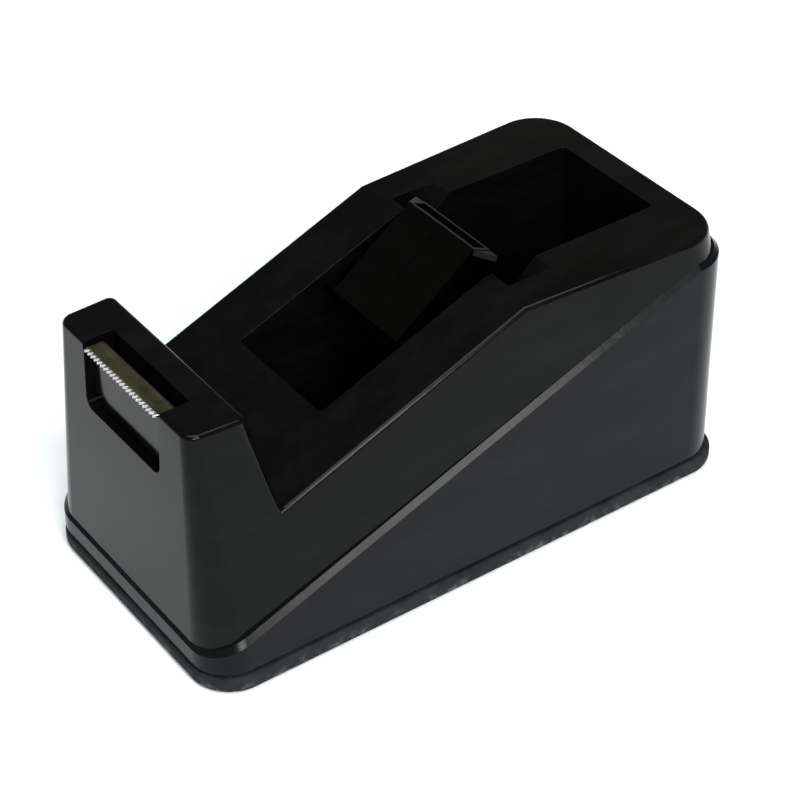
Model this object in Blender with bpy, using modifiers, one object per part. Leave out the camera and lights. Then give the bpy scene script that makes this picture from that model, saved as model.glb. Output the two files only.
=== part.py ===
"""Small weighted desk tape dispenser: one object for each piece, sizes in millimetres, built in metres.

The dispenser is 110 mm long (Y) and 55 mm wide (X). The cutter is at the front, -Y, and Z is up.
"""

import math

import bmesh
import bpy
from mathutils import Matrix, Vector

MM = 0.001
GAP = 0.3  # clearance left between neighbouring pieces
SEAT_GAP = 0.1  # clearance under a piece that rests on its seat
WALL = 2.0  # moulded wall
CORNER_STEPS = 6  # facets in each rounded plan corner
ROUND_SIDES = 24  # facets round a pin, a boss or a screw
FAR = 80.0  # reaches past the whole dispenser, for cutters
TOP = 60.0  # a height above the whole dispenser

# Foam pad under the base
PAD_HALF_WIDTH = 27.5
PAD_HALF_LENGTH = 55.0
PAD_THICK = 3.6
PAD_R = 7.7
PAD_EDGE = 0.9

# Lower shell: a tub whose rim rises from the front to just under the rear deck
SHELL_BOTTOM = PAD_THICK + GAP
SHELL_FLOOR = 2.4
SHELL_TOP = 46.0
SHELL_HALF_WIDTH = 27.0
SHELL_FRONT_Y, SHELL_REAR_Y = -54.85, 54.5
SHELL_FRONT_R, SHELL_REAR_R = 7.0, 8.8
SHELL_DRAFT = 0.012
RIM_FRONT_Z = 8.1
RIM_SLOPE = 0.379
LIP_THICK = 1.2
LIP_DEPTH = 2.0
LIP_LOW, LIP_HIGH = 4.0, 49.0

# Upper cover: side walls that lean in, a nose for the cutter, a ramp and a deck
SIDE_BASE = 29.49
SIDE_LEAN = 0.134
SIDE_FLARE = 0.055
FRONT_Y = -54.8
FRONT_LEAN = 0.036
REAR_Y = 58.6
NOSE_TOP = 49.1
NOSE_REAR_Y = -42.5
VALLEY_Y, VALLEY_Z = -38.7, 30.4
BEND_Y, BEND_Z = 9.45, 49.9
DECK_END_Z = 50.4
COVER_EDGE = 0.7
COVER_FRONT_R, COVER_FRONT_R_FALL = 7.0, 0.095
COVER_REAR_R = 8.7
CORE_INSET = 0.9
NOSE_BLOCK_HALF, NOSE_BLOCK_LOW, NOSE_BLOCK_REAR = 13.5, 34.0, -45.0

# Tape well
WELL_HALF_WIDTH = 12.15
WELL_FRONT, WELL_REAR = -23.6, 46.1
WELL_WALL = 1.8
WELL_FLOOR_TOP = 9.8

# Hub, sized for a one-inch core, on an axle that lies in two slanted slots
AXLE_Y, AXLE_Z = 6.4, 41.5
AXLE_R = 2.7
AXLE_HALF_LENGTH = 16.2
SLOT_HALF_WIDTH = 3.0
SLOT_ANGLE = math.radians(42.3)
SLOT_OUTER_X = 16.5
SLOT_BOSS_WALL = 1.5
SLOT_LENGTH = 30.0
SLOT_BOSS_LOW = (0.0, 35.0)
SLOT_BOSS_REAR = 24.0
HUB_R = 12.7
HUB_HALF_WIDTH = 9.2
HUB_WALL = 1.6
HUB_WEB = 1.5
HUB_FACE_ANGLE = math.radians(127.5)
HUB_CORNER_HALF = math.radians(8.28)
HUB_TUBE_R = 4.6
HUB_RIB_THICK, HUB_RIB_SHORT = 1.2, 1.0
AXLE_CHAMFER = 0.4
EAR_REACH = 2.3
EAR_THICK = 1.3
EAR_INSET = 0.12

# Cutter blade, its recess and slot in the nose, and the pocket under its teeth
BLADE_HALF_WIDTH = 11.0
BLADE_THICK = 0.5
BLADE_FOLD_R = 0.9
BLADE_TOP = 48.3
BLADE_FRONT_Y, BLADE_REAR_Y = -53.5, -49.1
BLADE_LEG = 5.0
BLADE_FIT = 0.2
TEETH = 22
TOOTH_DEPTH = 0.8
RECESS_HALF_WIDTH = 11.7
RECESS_REAR_Y = -47.4
POCKET_HALF_WIDTH = 11.5
POCKET_BOTTOM = 36.7
POCKET_BACK_Y = -51.9
POCKET_R = 2.0
POCKET_DEPTH = 10.0

# Screws and ballast
SCREWS = {
    "base_screw_front_left": (-17.0, -46.0),
    "base_screw_front_right": (17.0, -46.0),
    "base_screw_rear_left": (-19.0, 46.0),
    "base_screw_rear_right": (19.0, 46.0),
}
BOSS_R = 3.0
SCREW_HEAD_R, SCREW_HEAD_THICK = 2.6, 0.9
SCREW_CHAMFER = 0.3
SCREW_R, SCREW_LENGTH = 1.3, 11.0
PILOT_LENGTH = 17.0
BALLAST_BOTTOM = SHELL_BOTTOM + SHELL_FLOOR + GAP
BALLAST_EDGE = 0.8
FRONT_BALLAST = ((-12.5, -49.5, BALLAST_BOTTOM), (12.5, -27.0, 25.0))
SIDE_BALLAST_X = (15.0, 22.5)
SIDE_BALLAST_Y = (-36.0, 40.0)
SIDE_BALLAST_TOP = 17.0


def start_scene():
    for obj in list(bpy.data.objects):
        bpy.data.objects.remove(obj)
    for name in ("tape_dispenser", "cutters"):
        bpy.context.scene.collection.children.link(bpy.data.collections.new(name))


def add_object(name, mesh, collection):
    obj = bpy.data.objects.new(name, mesh)
    bpy.data.collections[collection].objects.link(obj)
    return obj


def make_material(name, colour, roughness, metallic=0.0):
    material = bpy.data.materials.new(name)
    material.use_nodes = True
    shader = material.node_tree.nodes["Principled BSDF"]
    shader.inputs["Base Color"].default_value = (*colour, 1.0)
    shader.inputs["Roughness"].default_value = roughness
    shader.inputs["Metallic"].default_value = metallic
    return material


def finish(obj, material, smooth=False):
    """Turns a helper into a kept piece, with its own material."""
    bpy.data.collections["cutters"].objects.unlink(obj)
    bpy.data.collections["tape_dispenser"].objects.link(obj)
    obj.hide_render = False
    obj.display_type = "TEXTURED"
    obj.data.materials.clear()
    obj.data.materials.append(material)
    if smooth:
        obj.data.shade_smooth()
    return obj


def helper(name, bm):
    """Stores a bmesh, drawn in millimetres, as a hidden object that other pieces can be cut with."""
    bmesh.ops.scale(bm, vec=Vector((MM, MM, MM)), verts=bm.verts)
    bmesh.ops.recalc_face_normals(bm, faces=bm.faces)
    mesh = bpy.data.meshes.new(name)
    bm.to_mesh(mesh)
    bm.free()
    obj = add_object(name, mesh, "cutters")
    obj.hide_render = True
    obj.display_type = "WIRE"
    return obj


def box(name, low, high):
    bm = bmesh.new()
    bmesh.ops.create_cube(bm, size=1.0)
    size = Vector(high) - Vector(low)
    bmesh.ops.scale(bm, vec=size, verts=bm.verts)
    bmesh.ops.translate(bm, vec=Vector(low) + size / 2, verts=bm.verts)
    return helper(name, bm)


def cylinder(name, radius, ends, centre, along_x=False):
    """A cylinder between two stations on Z, or on X, with its axis through centre."""
    bm = bmesh.new()
    depth = ends[1] - ends[0]
    bmesh.ops.create_cone(
        bm, cap_ends=True, segments=ROUND_SIDES, radius1=radius, radius2=radius, depth=depth
    )
    middle = sum(ends) / 2
    if along_x:
        bmesh.ops.rotate(bm, matrix=Matrix.Rotation(math.pi / 2, 3, "Y"), verts=bm.verts)
        bmesh.ops.translate(bm, vec=(middle, *centre), verts=bm.verts)
    else:
        bmesh.ops.translate(bm, vec=(*centre, middle), verts=bm.verts)
    return helper(name, bm)


def curve_prism(name, outlines, thickness, matrix):
    """A flat closed outline, with any holes, given a thickness and moved into place."""
    curve = bpy.data.curves.new(name, "CURVE")
    curve.dimensions = "2D"
    curve.fill_mode = "BOTH"
    curve.extrude = thickness / 2
    for outline in outlines:
        spline = curve.splines.new("POLY")
        spline.points.add(len(outline) - 1)
        for point, (u, v) in zip(spline.points, outline):
            point.co = (u, v, 0.0, 1.0)
        spline.use_cyclic_u = True
    guide = bpy.data.objects.new(name + "_guide", curve)
    mesh = bpy.data.meshes.new_from_object(guide)
    bpy.data.objects.remove(guide)
    bm = bmesh.new()
    bm.from_mesh(mesh)
    bmesh.ops.remove_doubles(bm, verts=bm.verts, dist=1e-4)
    bmesh.ops.transform(bm, matrix=matrix, verts=bm.verts)
    return helper(name, bm)


def side_prism(name, outlines, x_low, x_high):
    """A prism along X whose outline is given as (y, z) points."""
    turn = Matrix(((0, 0, 1, (x_low + x_high) / 2), (1, 0, 0, 0), (0, 1, 0, 0), (0, 0, 0, 1)))
    return curve_prism(name, outlines, x_high - x_low, turn)


def boolean(target, tool, operation="DIFFERENCE"):
    modifier = target.modifiers.new(tool.name, "BOOLEAN")
    modifier.solver = "EXACT"
    modifier.operation = operation
    modifier.object = tool


def bevel(target, width, segments=2, angle=30.0):
    modifier = target.modifiers.new("edges", "BEVEL")
    modifier.width = width * MM
    modifier.segments = segments
    modifier.limit_method = "ANGLE"
    modifier.angle_limit = math.radians(angle)


def arc(centre, radius, first, last, steps):
    """Points on a circle from one angle to another, in degrees, ends included."""
    angles = [math.radians(first + (last - first) * i / steps) for i in range(steps + 1)]
    return [(centre[0] + radius * math.cos(a), centre[1] + radius * math.sin(a)) for a in angles]


def rounded_plan(front_half, rear_half, y_front, y_rear, r_front, r_rear):
    """A plan outline with a straight side between rounded front and rear corners."""
    outline = []
    for half, y, radius, first in (
        (front_half, y_front, r_front, -90),
        (rear_half, y_rear, r_rear, 0),
        (-rear_half, y_rear, r_rear, 90),
        (-front_half, y_front, r_front, 180),
    ):
        centre = (math.copysign(abs(half) - radius, half), y + radius * (1 if first in (-90, 180) else -1))
        outline += arc(centre, radius, first, first + 90, CORNER_STEPS)
    return outline


def loft(name, low_z, low_plan, high_z, high_plan):
    """A closed solid between two plan outlines with the same number of points."""
    bm = bmesh.new()
    edges = []
    for z, plan in ((low_z, low_plan), (high_z, high_plan)):
        verts = [bm.verts.new((x, y, z)) for x, y in plan]
        loop = [bm.edges.new((verts[i - 1], vert)) for i, vert in enumerate(verts)]
        bmesh.ops.edgeloop_fill(bm, edges=loop)
        edges += loop
    bmesh.ops.bridge_loops(bm, edges=edges)
    return helper(name, bm)


def inset_outline(outline, distance):
    """A closed outline, given anticlockwise, moved inwards by distance with its corners kept sharp."""
    inset = []
    for i, here in enumerate(outline):
        before, after = Vector(outline[i - 1]), Vector(outline[(i + 1) % len(outline)])
        into, out = (Vector(here) - before).normalized(), (after - Vector(here)).normalized()
        middle = (Vector((-into.y, into.x)) + Vector((-out.y, out.x))).normalized()
        inset.append(tuple(Vector(here) + middle * distance / middle.dot(Vector((-into.y, into.x)))))
    return inset


def shell_plan(z, inset):
    """Plan of the lower shell's wall at height z, moved inwards."""
    draft = SHELL_DRAFT * (z - SHELL_BOTTOM) + inset
    half, front_y, rear_y = SHELL_HALF_WIDTH - draft, SHELL_FRONT_Y + draft, SHELL_REAR_Y - draft
    return rounded_plan(half, half, front_y, rear_y, SHELL_FRONT_R - inset / 2, SHELL_REAR_R - inset / 2)


def shell_loft(name, low_z, high_z, inset):
    return loft(name, low_z, shell_plan(low_z, inset), high_z, shell_plan(high_z, inset))


def rim_outline(shift):
    """Everything below the rim line of the lower shell, moved along Z by shift, as (y, z) points."""
    turn_y = SHELL_FRONT_Y + (SHELL_TOP - RIM_FRONT_Z) / RIM_SLOPE
    start_z = RIM_FRONT_Z - (FAR + SHELL_FRONT_Y) * RIM_SLOPE
    return [
        (-FAR, start_z - FAR),
        (FAR, start_z - FAR),
        (FAR, SHELL_TOP + shift),
        (turn_y, SHELL_TOP + shift),
        (-FAR, start_z + shift),
    ]


def cover_plan(z, inset):
    """Plan of the cover's wall at height z: the sides lean in and spread towards the rear."""
    r_front, r_rear = COVER_FRONT_R - COVER_FRONT_R_FALL * z, COVER_REAR_R
    y_front = FRONT_Y + FRONT_LEAN * z + inset
    y_rear = REAR_Y - SIDE_LEAN * z - inset
    front_half = SIDE_BASE - SIDE_LEAN * z + SIDE_FLARE * (y_front + r_front) - inset
    rear_half = SIDE_BASE - SIDE_LEAN * z + SIDE_FLARE * (y_rear - r_rear) - inset
    return rounded_plan(front_half, rear_half, y_front, y_rear, r_front - inset / 2, r_rear - inset / 2)


def cover_outline(inset):
    """Side view of the cover's top, anticlockwise: deck, bend, ramp, valley, nose."""
    deck_rise = (DECK_END_Z - BEND_Z) / (SHELL_REAR_Y - BEND_Y)
    outline = [
        (-FAR, -FAR),
        (FAR, -FAR),
        (FAR, BEND_Z + deck_rise * (FAR - BEND_Y)),
        (BEND_Y, BEND_Z),
        (VALLEY_Y, VALLEY_Z),
        (NOSE_REAR_Y, NOSE_TOP),
        (-FAR, NOSE_TOP),
    ]
    return inset_outline(outline, inset)


def cover_body(name, inset):
    """The cover's outer form, or the same form shrunk all round by inset."""
    body = loft(name, 0.0, cover_plan(0.0, inset), TOP, cover_plan(TOP, inset))
    boolean(body, side_prism(name + "_profile", [cover_outline(inset)], -FAR, FAR), "INTERSECT")
    return body


def cover_insides():
    """What stands inside the cover's skin: the tape well, its slot bosses, the nose block and screw bosses."""
    outer = WELL_HALF_WIDTH + WELL_WALL
    well = box(
        "well_block",
        (-outer, WELL_FRONT - WELL_WALL, WELL_FLOOR_TOP - WELL_WALL),
        (outer, WELL_REAR + WELL_WALL, TOP),
    )
    boss_x = SLOT_OUTER_X + SLOT_BOSS_WALL
    boolean(well, box("slot_block", (-boss_x, *SLOT_BOSS_LOW), (boss_x, SLOT_BOSS_REAR, TOP)), "UNION")
    half = NOSE_BLOCK_HALF
    nose = box("nose_block", (-half, -FAR, NOSE_BLOCK_LOW), (half, NOSE_BLOCK_REAR, TOP))
    boolean(well, nose, "UNION")
    for name, place in SCREWS.items():
        boss = cylinder(name + "_boss", BOSS_R, (BALLAST_BOTTOM, TOP), place)
        boolean(well, boss, "UNION")
    boolean(well, cover_body("cover_core", CORE_INSET), "INTERSECT")
    return well


def cover_lip():
    """The thin lip that steps down inside the lower shell, all along its rim."""
    lip = shell_loft("lip", LIP_LOW, LIP_HIGH, WALL + GAP)
    boolean(lip, shell_loft("lip_hollow", LIP_LOW - 1, LIP_HIGH + 1, WALL + GAP + LIP_THICK))
    boolean(lip, side_prism("lip_under", [rim_outline(-LIP_DEPTH)], -FAR, FAR))
    boolean(lip, side_prism("lip_over", [rim_outline(LIP_DEPTH)], -FAR, FAR), "INTERSECT")
    return lip


def slot_cutter(name, x_low, x_high):
    """A slot for one end of the axle: a round seat, open along a slanted line up through the deck."""
    along = Vector((math.cos(SLOT_ANGLE), math.sin(SLOT_ANGLE)))
    across = Vector((-along.y, along.x)) * SLOT_HALF_WIDTH
    seat = Vector((AXLE_Y, AXLE_Z))
    turn = math.degrees(SLOT_ANGLE)
    outline = arc(seat, SLOT_HALF_WIDTH, turn + 90, turn + 270, 2 * CORNER_STEPS)
    mouth = seat + along * SLOT_LENGTH
    outline += [tuple(mouth - across), tuple(mouth + across)]
    return side_prism(name, [outline], x_low, x_high)


def pocket_cutter():
    """The pocket in the front of the nose, below the blade's teeth, with rounded lower corners."""
    low, half = POCKET_BOTTOM, POCKET_HALF_WIDTH
    outline = arc((-half + POCKET_R, low + POCKET_R), POCKET_R, 180, 270, CORNER_STEPS)
    outline += arc((half - POCKET_R, low + POCKET_R), POCKET_R, 270, 360, CORNER_STEPS)
    outline += [(half, BLADE_TOP), (-half, BLADE_TOP)]
    middle = POCKET_BACK_Y - POCKET_DEPTH / 2
    place = Matrix(((1, 0, 0, 0), (0, 0, -1, middle), (0, 1, 0, 0), (0, 0, 0, 1)))
    return curve_prism("pocket", [outline], POCKET_DEPTH, place)


def upper_cover(material):
    cover = cover_body("upper_cover", 0.0)
    bevel(cover, COVER_EDGE)
    boolean(cover, cover_body("cover_cavity", WALL))
    boolean(cover, side_prism("below_rim", [rim_outline(0.0)], -FAR, FAR))
    boolean(cover, cover_lip(), "UNION")
    boolean(cover, cover_insides(), "UNION")
    well = box(
        "tape_well",
        (-WELL_HALF_WIDTH, WELL_FRONT, WELL_FLOOR_TOP),
        (WELL_HALF_WIDTH, WELL_REAR, TOP),
    )
    boolean(cover, well)
    inner = WELL_HALF_WIDTH - 1.0
    boolean(cover, slot_cutter("right_slot", inner, SLOT_OUTER_X))
    boolean(cover, slot_cutter("left_slot", -SLOT_OUTER_X, -inner))
    boolean(cover, pocket_cutter())
    seat_z = BLADE_TOP - BLADE_THICK - SEAT_GAP
    half = RECESS_HALF_WIDTH
    boolean(cover, box("blade_recess", (-half, -FAR, seat_z), (half, RECESS_REAR_Y, TOP)))
    slot_low = (-half, BLADE_REAR_Y - BLADE_THICK - BLADE_FIT, BLADE_TOP - BLADE_LEG - GAP)
    boolean(cover, box("blade_slot", slot_low, (half, RECESS_REAR_Y, TOP)))
    for name, place in SCREWS.items():
        boolean(cover, cylinder(name + "_pilot", SCREW_R + GAP, (0.0, PILOT_LENGTH), place))
    return finish(cover, material)


def lower_shell(material):
    shell = shell_loft("lower_shell", SHELL_BOTTOM, SHELL_TOP + 2.0, 0.0)
    floor_top = SHELL_BOTTOM + SHELL_FLOOR
    boolean(shell, shell_loft("shell_hollow", floor_top, TOP, WALL))
    rim = side_prism("rim", [rim_outline(-GAP)], -FAR, FAR)
    boolean(shell, rim, "INTERSECT")
    for name, place in SCREWS.items():
        boolean(shell, cylinder(name + "_hole", SCREW_R + GAP, (0.0, PILOT_LENGTH), place))
        recess_top = SHELL_BOTTOM + SCREW_HEAD_THICK + GAP
        boolean(shell, cylinder(name + "_recess", SCREW_HEAD_R + GAP, (0.0, recess_top), place))
    return finish(shell, material)


def non_slip_pad(material):
    half, length = PAD_HALF_WIDTH, PAD_HALF_LENGTH
    plan = rounded_plan(half, half, -length, length, PAD_R, PAD_R)
    pad = loft("non_slip_pad", 0.0, plan, PAD_THICK, plan)
    bevel(pad, PAD_EDGE)
    return finish(pad, material)


def hub_outline(inset):
    """A triangle with its corners cut flat, as (y, z) points about the axle's centre."""
    points = []
    for corner in (-60, 60, 180):
        middle = HUB_FACE_ANGLE + math.radians(corner)
        for side in (-1, 1):
            angle = middle + side * HUB_CORNER_HALF
            points.append((AXLE_Y + HUB_R * math.cos(angle), AXLE_Z + HUB_R * math.sin(angle)))
    return inset_outline(points, inset)


def hub_ear(name, side, corner):
    """A pointed ear that carries one corner strip of the hub past the end of its tube."""
    half = HUB_R * math.sin(HUB_CORNER_HALF) - EAR_INSET
    base, tip = side * (HUB_HALF_WIDTH - HUB_WEB), side * (HUB_HALF_WIDTH + EAR_REACH)
    flank = side * HUB_HALF_WIDTH
    outline = [(base, -half), (flank, -half), (tip, half), (base, half)]
    middle = HUB_FACE_ANGLE + math.radians(corner)
    out = Vector((0, math.cos(middle), math.sin(middle)))
    along = Vector((0, math.sin(middle), -math.cos(middle)))
    depth = HUB_R * math.cos(HUB_CORNER_HALF) - EAR_THICK / 2 - EAR_INSET
    centre = Vector((0, AXLE_Y, AXLE_Z)) + out * depth
    place = Matrix.Translation(centre) @ Matrix(((1, 0, 0), along, out)).transposed().to_4x4()
    return curve_prism(name, [outline], EAR_THICK, place)


def hub_half(name, side, material):
    """One half of the hub: a three-sided tube with a web at the joint, a bearing tube and three ribs."""
    joint, end = side * GAP / 2, side * HUB_HALF_WIDTH
    half = side_prism(name, [hub_outline(0.0)], min(joint, end), max(joint, end))
    web = joint + side * HUB_WEB
    beyond = end + side
    hollow = side_prism(name + "_hollow", [hub_outline(HUB_WALL)], min(web, beyond), max(web, beyond))
    boolean(half, hollow)
    centre = (AXLE_Y, AXLE_Z)
    span = sorted((joint, end))
    boolean(half, cylinder(name + "_tube", HUB_TUBE_R, span, centre, along_x=True), "UNION")
    for corner in (-60, 60, 180):
        boolean(half, hub_rib(name + f"_rib{corner}", side, corner), "UNION")
        boolean(half, hub_ear(name + f"_ear{corner}", side, corner), "UNION")
    bore = cylinder(name + "_bore", AXLE_R + GAP, (-FAR, FAR), centre, along_x=True)
    boolean(half, bore)
    half = finish(half, material)
    set_origin(half, Vector((0, AXLE_Y, AXLE_Z)) * MM)
    return half


def hub_rib(name, side, corner):
    """A rib from the bearing tube out to one corner, a little below the end of the hub."""
    bm = bmesh.new()
    bmesh.ops.create_cube(bm, size=1.0)
    low, high = HUB_TUBE_R - HUB_WALL / 4, HUB_R - 3 * HUB_WALL / 4
    length = HUB_HALF_WIDTH - HUB_RIB_SHORT - HUB_WEB / 2
    bmesh.ops.scale(bm, vec=(length, high - low, HUB_RIB_THICK), verts=bm.verts)
    start = side * (HUB_WEB / 2 + length / 2)
    bmesh.ops.translate(bm, vec=(start, (low + high) / 2, 0), verts=bm.verts)
    turn = Matrix.Rotation(HUB_FACE_ANGLE + math.radians(corner), 3, "X")
    bmesh.ops.rotate(bm, matrix=turn, verts=bm.verts)
    bmesh.ops.translate(bm, vec=(0, AXLE_Y, AXLE_Z), verts=bm.verts)
    return helper(name, bm)


def set_origin(obj, origin):
    """Moves an object's origin without moving its shape."""
    obj.data.transform(Matrix.Translation(-origin))
    obj.location = origin


def hub_axle(material):
    axle = cylinder(
        "hub_axle", AXLE_R, (-AXLE_HALF_LENGTH, AXLE_HALF_LENGTH), (AXLE_Y, AXLE_Z), along_x=True
    )
    bevel(axle, AXLE_CHAMFER)
    axle = finish(axle, material, smooth=True)
    set_origin(axle, Vector((0, AXLE_Y, AXLE_Z)) * MM)


def blade_outline():
    """Side view of the blade: a flat leaf with teeth in front, folded down at the rear."""
    leg_front = BLADE_REAR_Y - BLADE_THICK
    low = BLADE_TOP - BLADE_LEG
    outline = [(BLADE_FRONT_Y, BLADE_TOP - BLADE_THICK), (leg_front, BLADE_TOP - BLADE_THICK)]
    outline += [(leg_front, low), (BLADE_REAR_Y, low)]
    fold = (BLADE_REAR_Y - BLADE_FOLD_R, BLADE_TOP - BLADE_FOLD_R)
    outline += arc(fold, BLADE_FOLD_R, 0, 90, CORNER_STEPS)
    outline += [(BLADE_FRONT_Y, BLADE_TOP)]
    return outline


def teeth_cutter():
    """A comb that leaves a row of pointed teeth, with narrow flat tips, along the front of the blade."""
    half = BLADE_HALF_WIDTH + 0.1
    pitch = 2 * half / TEETH
    tip_y, behind_y = BLADE_FRONT_Y - 0.1, BLADE_FRONT_Y - 2.0
    outline = [(half + 1, behind_y), (half + 1, tip_y)]
    for i in range(TEETH):
        x = half - i * pitch
        outline += [(x, BLADE_FRONT_Y + TOOTH_DEPTH), (x - pitch / 2, tip_y)]
    outline += [(-half, BLADE_FRONT_Y + TOOTH_DEPTH), (-half - 1, tip_y), (-half - 1, behind_y)]
    return curve_prism("teeth", [outline], 4.0, Matrix.Translation((0, 0, BLADE_TOP)))


def cutter_blade(material):
    blade = side_prism("cutter_blade", [blade_outline()], -BLADE_HALF_WIDTH, BLADE_HALF_WIDTH)
    boolean(blade, teeth_cutter())
    return finish(blade, material)


def ballast(material):
    """Three iron castings: one under the nose and ramp, one along each side of the tape well."""
    front = box("ballast_front", *FRONT_BALLAST)
    (near, far), (y_low, y_high), top = SIDE_BALLAST_X, SIDE_BALLAST_Y, SIDE_BALLAST_TOP
    right = box("ballast_right", (near, y_low, BALLAST_BOTTOM), (far, y_high, top))
    left = box("ballast_left", (-far, y_low, BALLAST_BOTTOM), (-near, y_high, top))
    for casting in (front, left, right):
        bevel(casting, BALLAST_EDGE)
        finish(casting, material)


def base_screw(name, place, material):
    """A flat-headed screw, turned as a profile about its own axis."""
    head_top = SCREW_HEAD_THICK
    profile = [(0.0, SCREW_LENGTH), (SCREW_R, SCREW_LENGTH), (SCREW_R, head_top)]
    profile += [(SCREW_HEAD_R, head_top - SCREW_CHAMFER), (SCREW_HEAD_R, 0.0), (0.0, 0.0)]
    bm = bmesh.new()
    verts = [bm.verts.new((x, 0, z)) for x, z in profile]
    for first, second in zip(verts, verts[1:]):
        bm.edges.new((first, second))
    screw = helper(name, bm)
    turn = screw.modifiers.new("turn", "SCREW")
    turn.steps = turn.render_steps = ROUND_SIDES
    turn.use_merge_vertices = True
    turn.merge_threshold = 1e-5
    finish(screw, material, smooth=True)
    screw.location = Vector((*place, SHELL_BOTTOM + SEAT_GAP)) * MM


def build():
    start_scene()
    gloss_black = make_material("gloss_black_plastic", (0.012, 0.012, 0.012), 0.18)
    upper_cover(gloss_black)
    lower_shell(make_material("shell_black_plastic", (0.014, 0.014, 0.015), 0.2))
    non_slip_pad(make_material("grey_foam_rubber", (0.12, 0.12, 0.11), 0.75))
    hub_black = make_material("hub_black_plastic", (0.01, 0.01, 0.01), 0.35)
    hub_half("hub_half_left", -1, hub_black)
    hub_half("hub_half_right", 1, hub_black)
    hub_axle(make_material("axle_acetal", (0.02, 0.02, 0.02), 0.4))
    cutter_blade(make_material("blade_steel", (0.62, 0.6, 0.45), 0.3, 1.0))
    ballast(make_material("cast_iron", (0.06, 0.06, 0.06), 0.7, 1.0))
    screw_steel = make_material("zinc_screw", (0.6, 0.6, 0.6), 0.35, 1.0)
    for name, place in SCREWS.items():
        base_screw(name, place, screw_steel)


build()
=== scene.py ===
import math

import bmesh
import bpy
from mathutils import Matrix, Quaternion, Vector


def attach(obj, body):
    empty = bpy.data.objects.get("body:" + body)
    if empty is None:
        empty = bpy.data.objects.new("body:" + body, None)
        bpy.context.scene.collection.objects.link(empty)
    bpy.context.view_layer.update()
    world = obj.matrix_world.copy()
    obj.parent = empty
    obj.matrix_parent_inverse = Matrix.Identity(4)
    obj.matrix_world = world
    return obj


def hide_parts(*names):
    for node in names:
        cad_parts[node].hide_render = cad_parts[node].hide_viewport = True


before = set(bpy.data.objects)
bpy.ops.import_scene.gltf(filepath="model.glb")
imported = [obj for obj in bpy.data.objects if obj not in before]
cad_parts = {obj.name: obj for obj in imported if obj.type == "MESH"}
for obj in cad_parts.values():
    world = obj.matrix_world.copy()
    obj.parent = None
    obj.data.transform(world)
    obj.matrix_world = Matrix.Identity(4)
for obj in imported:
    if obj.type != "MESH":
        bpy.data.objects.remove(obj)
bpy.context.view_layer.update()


# ---- Foam pad ---------------------------------------------------------------------------------
# A die-cut slab of grey closed-cell foam rubber, glued under the whole footprint so that the
# dispenser doesn't slide. Its edges are soft, and a painted highlight pales them in patches near the desk.

PAD_HALF_WIDTH, PAD_HALF_LENGTH, PAD_THICK = 27.5, 55.0, 3.15
PAD_R, PAD_LOW_R, PAD_TOP_R = 7.7, 1.1, 0.8
# The third foam colour is a painted highlight: a pale sheen laid in patches along the pad's lowest edge.
FOAM_DARK, FOAM_LIGHT, FOAM_PAINTED_SHEEN = (0.009, 0.01, 0.0105), (0.022, 0.024, 0.025), (0.12, 0.125, 0.13)
FOAM_CELLS, PAINTED_SHEEN_BELOW = 2600.0, 0.0026  # cells to the metre, and metres
MM = 0.001
CORNER = 40.0  # degrees: edges that turn more than this are corners
CRISP = 32.0  # degrees: edges that turn more than this are shaded crisp
NEAR = 0.1  # millimetres: less than this counts as nothing


def rounded_ring(bm, z, front_half, rear_half, front_y, rear_y, front_r, rear_r, steps=14):
    """A flat face with four rounded corners at height z, and its edges."""
    before = set(bm.edges)
    corners = ((-front_half, front_y), (front_half, front_y), (rear_half, rear_y), (-rear_half, rear_y))
    verts = [bm.verts.new((x, y, z)) for x, y in corners]
    bm.faces.new(verts)
    for pair, radius in ((verts[:2], front_r), (verts[2:], rear_r)):
        bmesh.ops.bevel(
            bm, geom=pair, offset=radius, segments=steps, profile=0.5, affect="VERTICES", material=-1
        )
    return [edge for edge in bm.edges if edge not in before]


def thicken(bm, way):
    """Extrudes a flat face into a solid, along a vector."""
    far = bmesh.ops.extrude_face_region(bm, geom=bm.faces[:])["geom"]
    bmesh.ops.translate(bm, vec=way, verts=[v for v in far if isinstance(v, bmesh.types.BMVert)])


def piece(name, bm):
    """Makes an object of a mesh drawn in millimetres."""
    bmesh.ops.recalc_face_normals(bm, faces=bm.faces)
    mesh = bpy.data.meshes.new(name)
    bm.to_mesh(mesh)
    bm.free()
    obj = bpy.data.objects.new(name, mesh)
    bpy.context.scene.collection.objects.link(obj)
    return obj


def sharp_edges(bm, degrees, wanted):
    """Edges that turn more than an angle, and whose middle point is wanted."""
    return [
        edge
        for edge in bm.edges
        if len(edge.link_faces) == 2
        and edge.calc_face_angle() > math.radians(degrees)
        and wanted((edge.verts[0].co + edge.verts[1].co) / 2)
    ]


def round_off(bm, edges, radius, segments, clamp=True):
    """Rounds edges, or bevels them flat with a single segment."""
    bmesh.ops.bevel(
        bm,
        geom=edges,
        offset=radius,
        segments=segments,
        profile=0.5,
        affect="EDGES",
        material=-1,
        clamp_overlap=clamp,
    )


def finish_piece(obj, name, node, body, material):
    """Brings a finished shape to metres, and lets it stand for its CAD node."""
    obj.name = obj.data.name = name
    obj.data.transform(Matrix.Scale(MM, 4))
    obj.data.materials.clear()
    obj.data.materials.append(material)
    obj.data.shade_smooth()
    obj.data.set_sharp_from_angle(angle=math.radians(CRISP))
    weights = obj.modifiers.new("flat faces stay flat", "WEIGHTED_NORMAL")
    weights.weight = 100
    weights.keep_sharp = True
    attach(obj, body)
    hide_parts(node)
    return obj


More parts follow.
